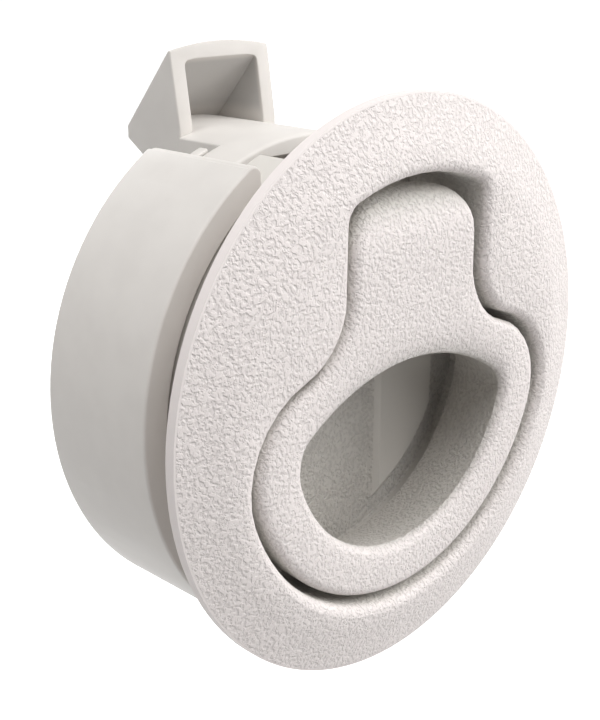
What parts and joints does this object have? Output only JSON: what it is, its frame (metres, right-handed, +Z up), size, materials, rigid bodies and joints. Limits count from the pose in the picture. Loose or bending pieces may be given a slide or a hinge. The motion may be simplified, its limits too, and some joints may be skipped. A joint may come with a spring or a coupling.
{
  "type": "push-to-close latch",
  "caption": "Round flush latch with a keyhole-shaped pull handle, a sprung wedge bolt and a split ring that clamps it in a panel hole.",
  "frame": {"origin": "centre of the bezel's back face, where it seats on the panel", "axes": "+Y into the door along the barrel's axis, -Y towards the user, +Z up with the bolt on top"},
  "size_m": [0.0604, 0.0374, 0.0636],
  "materials": {
    "grained_plastic": "warm white moulded plastic with a leathery grain",
    "smooth_plastic": "warm white moulded plastic, smooth satin",
    "steel": "bright plated steel",
    "spring_steel": "drawn spring wire"
  },
  "bodies": {
    "body": {"housing": "grained_plastic", "handle_pin": "steel", "rear_cover": "smooth_plastic", "cover_screw_1": "steel", "cover_screw_2": "steel", "cover_screw_3": "steel", "cover_screw_4": "steel", "mounting_ring": "smooth_plastic", "mounting_screw_left": "steel", "mounting_screw_right": "steel", "bolt_spring_left": "spring_steel", "bolt_spring_right": "spring_steel"},
    "handle": {"pull_handle": "grained_plastic"},
    "bolt": {"latch_bolt": "smooth_plastic"}
  },
  "joints": [
    {"name": "handle_pull", "type": "hinge", "parent": "body", "child": "handle", "pos_m": [0, 0.003, 0.014], "axis": [-1, 0, 0], "range_deg": [0, 42], "stiffness_Nm_per_rad": 0.073, "springref_deg": -25.98},
    {"name": "bolt_slide", "type": "slide", "parent": "body", "child": "bolt", "axis": [0, 0, -1], "range_m": [0, 0.0082], "deforming": ["bolt_spring_left", "bolt_spring_right"]}
  ],
  "couplings": [
    {"joint": "bolt_slide", "follows": "handle_pull", "m_per_rad": 0.011025}
  ]
}
